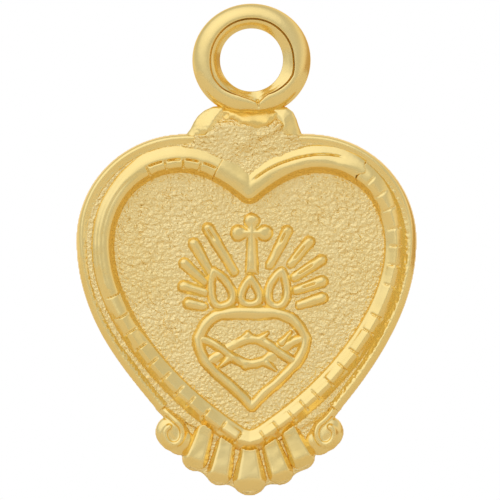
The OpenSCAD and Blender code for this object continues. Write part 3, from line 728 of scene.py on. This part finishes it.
def scroll_line(s):
    """The rim's end, then the turn round the scroll's centre."""
    turns = np.linspace(0, 1, 60)
    angle = np.radians(SPIRAL_START - SPIRAL_TURN * turns)
    bulge = hump(angle - math.radians(BULGE_AT), math.radians(BULGE_W))
    radius = SPIRAL_R - SPIRAL_IN * turns + BULGE * bulge
    spiral = np.stack([radius * np.cos(angle), radius * np.sin(angle)], 1)
    way = side_edge[-1] - side_edge[-2]
    way = way / math.hypot(*way)
    rim_end = side_edge[-1] + RIM_W / 2 * np.array((way[1], -way[0]))
    start = np.array((SCROLL_X - rim_end[0] + s * (HEART_SHIFT - BEZEL_SHIFT), rim_end[1] - SCROLL_Z))
    run_in = np.array((-way[0], way[1]))
    out = np.array((math.sin(math.radians(SPIRAL_START)), -math.cos(math.radians(SPIRAL_START))))
    arm = bez(start - 0.15 * run_in, start + 0.45 * run_in, spiral[0] - 0.4 * out, spiral[0], 10)
    line = chain(arm, spiral) * (-s, 1) + scroll_at[s]
    line[:, 0] += LEAN * (1 - ease(-line[:, 1], 17.6, 18.3))
    return line


def make_scrolls():
    for s, node in ((-1, "scroll_left"), (1, "scroll_right")):
        line = scroll_line(s)
        grid = around(np.vstack([line, [scroll_foot[s]]]), 0.8)
        far, run = near(grid, line, 0.8)
        inside = 1 + bar(grid, scroll_at[s], SCROLL_R, scroll_foot[s], SCROLL_FOOT_R)[0] / SCROLL_R
        high = DOME_H * np.sqrt(np.clip(1.02 - inside**2, 0, None)) - 6.5 * np.clip(inside - 1, 0, None)
        turned = ease(run, 0.3, 1.2)
        coil_high = COIL_H + 0.18 * ease(run, 0, 0.5) + 0.12 * turned
        band = ridge(far / (COIL_HALF + 0.06 * turned), 1.0, coil_high, 0.3)
        high = blend_max(high, band, 0.08) + 0.015 * wobble(grid, 0.4, 61)
        cast(node, polished, grid, high)


# Sacred heart
HEART_HALF, FLAME_HALF, CROSS_HALF, TWIG_HALF = 0.31, 0.25, 0.31, 0.27
RAY_H, RAY_MORE, RAY_GROOVE_DEPTH, RAY_GROOVE_W = 0.21, 0.06, 0.13, 0.045
# How far a twig swings about its middle, which lies this share of the heart's height below its top
TWIG_SWING, TWIG_DROP = 0.62, 0.415
THORN_FOOT_R, THORN_TIP_R = 0.22, 0.08
# Each thorn runs from a point on its twig to its tip
THORNS_UPPER = (((-0.2, -13.75), (-0.45, -13.85)), ((1.5, -14.15), (1.95, -13.6)),
                ((0.45, -13.95), (0.8, -13.65)))
THORNS_LOWER = (((0.75, -15.15), (1.2, -15.5)), ((-1.15, -14.95), (-1.55, -15.3)),
                ((-0.3, -15.3), (-0.6, -14.95)))


def make_heart():
    grid = around(small_line, 0.7)
    X, Z = grid
    far = near(grid, small_line, 0.9, True)[0]
    half = HEART_HALF + 0.07 * hump(X, 1.3) * (Z > SMALL_Z - 0.6)
    half += 0.03 * wobble(grid, 0.45, 70)
    high = ridge(far / half, 1.0, EMBLEM_H + 0.04, lit=lit_side(grid, far)) + 0.02 * wobble(grid, 0.5, 71)
    cast("heart_frame", polished, grid, high)


def make_flames():
    for k, name in enumerate(FLAMES):
        path = flame_line(name)
        grid = around(path, 0.5, FINE_CELL)
        far = near(grid, path, 0.8, True)[0]
        high = ridge(far, FLAME_HALF, EMBLEM_H, lit=lit_side(grid, far)) + 0.02 * wobble(grid, 0.4, 72 + k)
        cast(name, polished, grid, high, cell=FINE_CELL)


def make_cross():
    grid = window(-1.5, 1.5, CROSS_FOOT - 0.4, CROSS_FOOT + CROSS_H + 0.4, FINE_CELL)
    X, Z = grid
    arm_z = CROSS_FOOT + 0.66 * CROSS_H
    ends = np.maximum(CROSS_FOOT - 0.1 - Z, Z - CROSS_FOOT - CROSS_H + TREFOIL)
    shaft = np.maximum(np.abs(X) - SHAFT - 0.06 * ease(Z, arm_z, CROSS_FOOT), ends)
    beam = np.maximum(np.abs(X) - CROSS_ARM, np.abs(Z - arm_z) - SHAFT)
    shape = np.minimum(shaft, beam)
    for cx, cz in ((-CROSS_ARM, arm_z), (CROSS_ARM, arm_z), (0, CROSS_FOOT + CROSS_H - TREFOIL)):
        shape = blend_min(shape, np.hypot(X - cx, Z - cz) - TREFOIL, 0.08)
    high = ridge(np.clip(shape + 0.27, 0, None), CROSS_HALF, EMBLEM_H + 0.02, lit=lit_side(grid, shape))
    high += 0.015 * wobble(grid, 0.35, 76)
    cast("cross", polished, grid, high, cell=FINE_CELL)


def make_rays():
    for k, (name, (root, tip)) in enumerate(RAYS.items()):
        p0, p1 = moved(root, 0, FLAME_Z), moved(tip, 0, FLAME_Z)
        grid = around(np.array([p0, p1]), 0.7, FINE_CELL)
        far, t, v = bar(grid, p0, RAY_FOOT, p1, RAY_TIP)
        width = RAY_FOOT + (RAY_TIP - RAY_FOOT) * np.clip(t, 0, 1)
        across = np.clip(far / width + 1, 0, None)
        high = ridge(across, 0.95, RAY_H + RAY_MORE * np.clip(t, 0, 1), lit=lit_side(grid, far))
        high += 0.02 * wobble(grid, 0.35, 80 + k) + 0.1 * v * (far < 0)
        if name in RAY_GROOVES:
            t0, t1 = RAY_GROOVES[name]
            groove = RAY_GROOVE_DEPTH * hump(v, RAY_GROOVE_W)
            high -= groove * ease(t, t0, t0 + 0.12) * (1 - ease(t, t1 - 0.12, t1))
        cast(name, polished, grid, high, cell=FINE_CELL)


def make_twigs():
    x = np.linspace(-SMALL_W + 0.2, SMALL_W - 0.2, 60)
    for s, node, thorns in ((1, "thorn_twig_upper", THORNS_UPPER), (-1, "thorn_twig_lower", THORNS_LOWER)):
        z = SMALL_Z - TWIG_DROP * SMALL_H + s * TWIG_SWING * np.cos(math.pi * x / SMALL_W)
        path = np.stack([x, z], 1)
        grid = around(path, 0.8, FINE_CELL)
        X = grid[0]
        far = near(grid, path, 0.9)[0]
        over = ease(0.75 - np.abs(X - s * SMALL_W / 2), 0, 0.35)
        under = ease(0.75 - np.abs(X + s * SMALL_W / 2), 0, 0.35)
        half = TWIG_HALF + 0.03 * wobble(grid, 0.4, 90)
        high = ridge(far / half, 1.0, EMBLEM_H + 0.04 * over - 0.1 * under, lit=lit_side(grid, far))
        for base, tip in thorns:
            spike = bar(grid, base, THORN_FOOT_R, tip, THORN_TIP_R)[0]
            high = blend_max(high, ridge(np.clip(spike + 0.2, 0, None), 0.24, 0.24), 0.06)
        inner = outline(grid, small_line, 2.0) + 0.1
        high = np.where(inner < 0, high, NOWHERE) + 0.015 * wobble(grid, 0.3, 91)
        cast(node, polished, grid, high, cell=FINE_CELL)


# Neck
NECK_FRONT, NECK_BACK = NECK_T / 2 + FRONT, -NECK_T / 2 + FRONT
# The rise of the shoulders' and the apron's lower ends, the drop of worn edges, the block's grains and fold
SHOULDER_FOOT, APRON_FOOT, WORN = 0.36, 0.42, 0.3
BLOCK_GRAIN, FOLD_H, FOLD_W = 0.07, 0.12, 0.16
SHOULDERS = {
    "neck_shoulder_left": (
        (-1.3, -2.3), (-1.9, -2.32), (-2.35, -2.52), (-2.68, -2.8), (-2.88, -3.1), (-3.05, -3.45),
        (-3.25, -3.7), (-3.6, -3.82), (-3.6, -4.2), (-2.6, -4.5), (-1.3, -4.5)),
    "neck_shoulder_right": (
        (1.0, -2.3), (1.75, -2.35), (2.08, -2.6), (2.25, -2.95), (2.36, -3.3), (2.5, -3.68),
        (2.9, -3.82), (3.0, -4.15), (2.2, -4.5), (1.0, -4.5)),
}
APRON = ((-2.9, -3.0), (2.5, -3.0), (2.75, -3.85), (3.4, -3.95), (3.2, -4.5), (1.6, -5.3),
         (-0.1, -7.0), (-1.9, -5.3), (-3.2, -4.8), (-3.9, -4.5), (-3.7, -3.95), (-3.2, -3.85))
FOLD = ((1.85, -2.6), (1.65, -3.2), (1.3, -3.6), (0.4, -3.8))
SOLDER = ((-1.5, -2.3), (-1.75, -2.62), (-1.5, -2.9), (-1.1, -2.98), (-0.8, -3.12), (-0.6, -3.35),
          (-0.2, -3.5), (0.1, -3.72), (0.4, -3.7), (0.75, -3.55), (1.05, -3.4), (1.2, -3.1), (1.5, -2.9),
          (1.85, -2.68), (1.6, -2.3))


def neck_under(Z):
    """The neck's back above the plate's top edge, and the underside of a laid-on piece below it."""
    return np.where(Z > -HEART_DROP - 0.02, NECK_BACK, SUNK)


def make_shoulders():
    for node, corners in SHOULDERS.items():
        grid = around(np.array(corners), 0.3)
        X, Z = grid
        side = outline(grid, np.array(corners), 2.0)
        slope = ease(Z, -4.3, -3.3)
        high = SHOULDER_FOOT + (NECK_FRONT - 0.38) * slope - WORN * ease(side, -0.8, 0.0) * slope
        high += 0.03 * wobble(grid, 0.5, 101)
        high -= WORN * ease(side, -0.3, 0.05) * (1 - slope)
        high += 0.045 * pebbles(grid, GRAIN, 102) * (X < 0)
        cast(node, polished, grid, high, neck_under(Z), side, 0.2)


def make_block():
    grid = window(-4.2, 3.9, -7.4, -2.2)
    X, Z = grid
    flank = np.maximum(NECK_LEFT - 0.25 - X, X - NECK_RIGHT - 0.25)
    block = np.maximum(flank, np.maximum(-HEART_DROP - 0.3 - Z, Z + SEAT))
    skirt = outline(grid, np.array(APRON), 3.0)
    apron = np.maximum(np.maximum(skirt, 0.3 - outline(grid, crest, 1.6)), Z + HEART_DROP)
    side = blend_min(block, apron, 0.15)
    slope = ease(Z, -5.0, -3.0)
    high = APRON_FOOT + (NECK_FRONT - APRON_FOOT) * slope
    high += BLOCK_GRAIN * pebbles(grid, GRAIN, 103)
    high += 0.07 * wobble(grid, 0.55, 105)
    high += 0.12 * mound(grid, -0.32, -4.15, 0.1)
    high += FOLD_H * hump(near(grid, bez(*FOLD), 1.0)[0], FOLD_W)
    on_plate = ease(-Z, HEART_DROP - 0.35, HEART_DROP)
    sunk = ease(skirt + 0.08 * wobble(grid, 0.3, 106), -0.55, -0.02) * on_plate
    high -= WORN * sunk
    high -= WORN * ease(flank + 0.08 * wobble(grid, 0.3, 108), -0.4, 0.1) * (1 - on_plate)
    high -= 0.36 * ease(Z, -3.35, -2.8)
    cast("neck_block", stippled, grid, high, neck_under(Z), side, 0.03)


def make_saddle():
    grid = window(-2.3, 2.4, -4.0, -1.9)
    Z = grid[1]
    side = outline(grid, np.array(SOLDER), 1.5)
    side = side + 0.09 * wobble(grid, 0.28, 110) + 0.05 * wobble(grid, 0.13, 111)
    high = NECK_FRONT + 0.07 - 0.25 * ease(side, -0.4, 0.04) - 0.34 * ease(Z, -3.1, -2.5)
    high += 0.06 * wobble(grid, 0.4, 107)
    high += 0.1 * mound(grid, 0.85, -3.2, 0.03) + 0.08 * mound(grid, -0.7, -3.0, 0.02)
    # The saddle takes the deeper orange solder gold: painted shade of the hollow beneath the ring
    cast("ring_saddle", shaded_solder, grid, high, NECK_BACK - 0.03, side, 0.06)


# Ring: points round it, points round its section, and the circle of its wire
RING_TURNS, RING_AROUND = 320, 200
WIRE_AT, WIRE_R = 2.24, 0.72
# Its section from the hole's wall over the bevel to the wire, as radius and depth from its middle plane
BEVEL = ((BORE_R, 0.0), (BORE_R, 0.12), (1.59, 0.17), (1.63, 0.23), (1.70, 0.32), (1.77, 0.41), (1.83, 0.48),
         (1.89, 0.55), (1.95, 0.6), (2.02, 0.635), (2.085, 0.65), (2.125, 0.68), (2.15, 0.7), (2.2, 0.715))
# The groove along the lip, and how deep it is at angles round the ring
LIP_GROOVE_R, LIP_GROOVE_W, LIP_GROOVE_DEPTH = 2.1, 0.026, 0.26
GROOVE_ANGLE = (0, 100, 140, 180, 215, 236, 250, 278, 292, 315, 330, 360)
GROOVE_SHARE = (1, 1, 0.5, 0.4, 0.4, 0.8, 0.4, 0.25, 0.35, 1, 0.8, 1)
# The lip's radius at angles round the ring, with a V at the bottom, where the two ends of the wire meet
LIP_ANGLE = (0, 45, 90, 135, 180, 205, 223, 236, 250, 262, 270, 275, 278.6, 283, 289, 296, 315, 330, 340, 350,
             360)
LIP_RADIUS = (2.13, 2.1, 2.08, 2.08, 2.08, 2.12, 2.06, 1.97, 1.9, 1.94, 2.02, 2.11, 2.2, 2.1, 1.98, 1.92,
              2.04, 2.16, 2.22, 2.18, 2.13)
# At the right and the bottom the bevel lies flatter: its share at angles, and the change of depth at radii
FLAT_ANGLE, FLAT_SHARE = (0, 35, 75, 205, 235, 360), (1, 1, 0, 0, 1, 1)
FLAT_RADIUS = (1.575, 1.59, 1.63, 1.7, 1.77, 1.83, 1.89, 1.95, 2.02, 2.085)
FLAT_CHANGE = (0.18, 0.15, 0.115, 0.07, 0.025, -0.01, -0.045, -0.05, -0.035, 0)
SEAM_ANGLE, SEAM_W, SEAM_DEPTH = 278.4, 0.05, 0.12


def ring_section():
    """Even points round the section, as radius and depth, with more of them about the lip."""
    arc = [(WIRE_AT + WIRE_R * math.sin(a), WIRE_R * math.cos(a)) for a in np.linspace(0.05, math.pi / 2, 20)]
    half = np.array([*BEVEL, *arc])
    loop = closed_up(np.vstack([half, (half[1:-1] * (1, -1))[::-1]]))
    steps = np.concatenate([[0], np.cumsum(lengths(loop))])
    n = len(BEVEL)
    lip_at = np.interp(LIP_GROOVE_R, half[:n, 0], steps[:n])
    fine = np.linspace(-0.13, 0.13, 27)
    at = np.linspace(0, steps[-1], RING_AROUND - 2 * len(fine), endpoint=False)
    at = np.sort(np.concatenate([at, lip_at + fine, steps[-1] - lip_at + fine]))
    return np.interp(at, steps, loop[:, 0])[None, :], np.interp(at, steps, loop[:, 1])[None, :]


def make_ring():
    r, y = ring_section()
    phi = np.linspace(0, 2 * math.pi, RING_TURNS, endpoint=False)[:, None]
    degrees = np.degrees(phi)
    outer = 1 / np.sqrt((np.cos(phi) / RING_W) ** 2 + (np.sin(phi) / RING_UP) ** 2)
    flat = np.where(np.sin(phi) < -0.2, RING_FLAT / np.maximum(-np.sin(phi), 0.2), FAR)
    outer = blend_min(outer, flat, 0.12)
    lip_r = np.interp(degrees, LIP_ANGLE, LIP_RADIUS)
    share = np.clip((r - BORE_R) / (RING_W - BORE_R), 0, 1)
    split = (LIP_R - BORE_R) / (RING_W - BORE_R)
    inside = BORE_R + (lip_r - BORE_R) * share / split
    rr = np.where(share < split, inside, lip_r + (outer - lip_r) * (share - split) / (1 - split))
    wave = 0.012 * np.sin(3 * phi + 0.7) + 0.008 * np.sin(7 * phi + 2.0)
    flatter = np.interp(degrees, FLAT_ANGLE, FLAT_SHARE) * np.interp(r, FLAT_RADIUS, FLAT_CHANGE)
    thicker = 0.06 * ease(-np.sin(phi), 0.3, 1.0)
    yy = y * (1 + wave + thicker) + flatter * np.clip(np.abs(y) / 0.12, 0, 1) * np.sign(y)
    deep = LIP_GROOVE_DEPTH * np.interp(degrees, GROOVE_ANGLE, GROOVE_SHARE)
    yy = yy - deep * hump(r - LIP_GROOVE_R, LIP_GROOVE_W) * np.sign(y)
    seam = hump((phi - math.radians(SEAM_ANGLE)) * rr, SEAM_W)
    seam = seam * ease(rr, 1.95, 2.05) * (1 - ease(rr, 2.35, 2.5))
    yy = yy - SEAM_DEPTH * seam * (y > 0.3)
    points = np.stack([rr * np.cos(phi), -yy, rr * np.sin(phi)], -1).reshape(-1, 3)
    faces = []
    for i in range(RING_TURNS):
        for j in range(RING_AROUND):
            a = i * RING_AROUND
            c = (i + 1) % RING_TURNS * RING_AROUND
            k = (j + 1) % RING_AROUND
            faces.append((a + j, a + k, c + k, c + j))
    add_piece(points, faces, "hanging_ring", polished)


make_plate()
make_rims()
make_bezel()
make_ribbon()
make_flutes()
make_scrolls()
make_heart()
make_flames()
make_cross()
make_rays()
make_twigs()
make_shoulders()
make_block()
make_saddle()
make_ring()

# Every surface faces out
for piece in [o for o in bpy.data.objects if o.name.startswith("cast_")]:
    mesh = piece.data
    mesh.calc_loop_triangles()
    co = np.zeros(len(mesh.vertices) * 3)
    mesh.vertices.foreach_get("co", co)
    co = co.reshape(-1, 3)
    tri = np.zeros(len(mesh.loop_triangles) * 3, np.int32)
    mesh.loop_triangles.foreach_get("vertices", tri)
    a, b, c = (co[tri.reshape(-1, 3)[:, k]] for k in range(3))
    if np.einsum("ij,ij->i", a, np.cross(b, c)).sum() < 0:
        mesh.flip_normals()

# Floor
FLOOR_Z, FLOOR_R, FLOOR_SIDES = -24.0, 120.0, 96
FLOOR_COLOUR, FLOOR_ROUGH = (0.88, 0.8, 0.66), 0.9
floor_mesh = bpy.data.meshes.new("floor")
turn = np.linspace(0, 2 * math.pi, FLOOR_SIDES, endpoint=False)
rim = [(FLOOR_R * MM * math.cos(a), FLOOR_R * MM * math.sin(a), FLOOR_Z * MM) for a in turn]
floor_mesh.from_pydata(rim, [], [list(range(FLOOR_SIDES))])
floor = bpy.data.objects.new("floor", floor_mesh)
bpy.context.scene.collection.objects.link(floor)
pale = bpy.data.materials.new("pale_floor")
pale.use_nodes = True
pale_inputs = pale.node_tree.nodes["Principled BSDF"].inputs
pale_inputs["Base Color"].default_value = (*FLOOR_COLOUR, 1)
pale_inputs["Roughness"].default_value = FLOOR_ROUGH
floor_mesh.materials.append(pale)

# Light: a soft sweep from the warm side away from the key light, at 0, to the key light, at 1
KEY_LIGHT = (-0.42, -0.5, 0.78)
SWEEP = ((0.0, (0.5, 0.35, 0.18)), (0.28, (0.58, 0.41, 0.21)), (0.39, (0.84, 0.74, 0.58)),
         (0.5, (0.86, 0.81, 0.7)), (0.62, (0.66, 0.64, 0.59)), (0.76, (0.62, 0.63, 0.63)),
         (0.86, (0.94, 0.95, 0.96)), (1.0, (1.12, 1.13, 1.15)))
# How far back a mirrored ray points where the white background starts and where it is full
BEHIND_FROM, BEHIND_FULL = 0.8, 1.0
world = bpy.data.worlds.new("studio")
bpy.context.scene.world = world
world.use_nodes = True
nodes, links = world.node_tree.nodes, world.node_tree.links
nodes.clear()
out = new_node(nodes, "OutputWorld")
direction = new_node(nodes, "TexCoord")
key = new_node(nodes, "VectorMath")
key.operation = "DOT_PRODUCT"
key.inputs[1].default_value = Vector(KEY_LIGHT).normalized()
sweep = new_node(nodes, "MapRange", From_Min=-1.0, From_Max=1.0)
sky = new_node(nodes, "ValToRGB")
while len(sky.color_ramp.elements) < len(SWEEP):
    sky.color_ramp.elements.new(0.5)
for element, (position, colour) in zip(sky.color_ramp.elements, SWEEP):
    element.position = position
    element.color = (*colour, 1)
light = new_node(nodes, "Background")
white = new_node(nodes, "Background", Color=(1, 1, 1, 1))
path = new_node(nodes, "LightPath")
axes = new_node(nodes, "SeparateXYZ")
behind = new_node(nodes, "MapRange", From_Min=BEHIND_FROM, From_Max=BEHIND_FULL)
behind.interpolation_type = "SMOOTHSTEP"
mirrored = new_node(nodes, "Math")
mirrored.operation = "MAXIMUM"
shown_back = new_node(nodes, "Math")
shown_back.operation = "MULTIPLY"
seen = new_node(nodes, "Math")
seen.operation = "MAXIMUM"
mix = new_node(nodes, "MixShader")
for source, target in (
    (direction.outputs["Generated"], key.inputs[0]),
    (key.outputs["Value"], sweep.inputs["Value"]),
    (sweep.outputs["Result"], sky.inputs["Fac"]),
    (sky.outputs["Color"], light.inputs["Color"]),
    (direction.outputs["Generated"], axes.inputs[0]),
    (axes.outputs["Y"], behind.inputs["Value"]),
    (path.outputs["Is Glossy Ray"], mirrored.inputs[0]),
    (path.outputs["Is Transmission Ray"], mirrored.inputs[1]),
    (mirrored.outputs[0], shown_back.inputs[0]),
    (behind.outputs["Result"], shown_back.inputs[1]),
    (path.outputs["Is Camera Ray"], seen.inputs[0]),
    (shown_back.outputs[0], seen.inputs[1]),
    (seen.outputs[0], mix.inputs[0]),
    (light.outputs[0], mix.inputs[1]),
    (white.outputs[0], mix.inputs[2]),
    (mix.outputs[0], out.inputs["Surface"]),
):
    links.new(source, target)

# Camera, in metres
CAMERA_AWAY, VIEW_W, MIDDLE_X, MIDDLE_Z, SENSOR = 0.8, 0.025, -0.000075, -0.0095, 36.0
camera_data = bpy.data.cameras.new("camera")
camera_data.sensor_width = SENSOR
camera_data.lens = SENSOR * CAMERA_AWAY / VIEW_W
camera_data.clip_start = 0.1
camera = bpy.data.objects.new("camera", camera_data)
camera.location = (MIDDLE_X, -CAMERA_AWAY, MIDDLE_Z)
camera.rotation_euler = (math.pi / 2, 0, 0)
bpy.context.scene.collection.objects.link(camera)
bpy.context.scene.camera = camera
bpy.context.scene.view_settings.view_transform = "Standard"
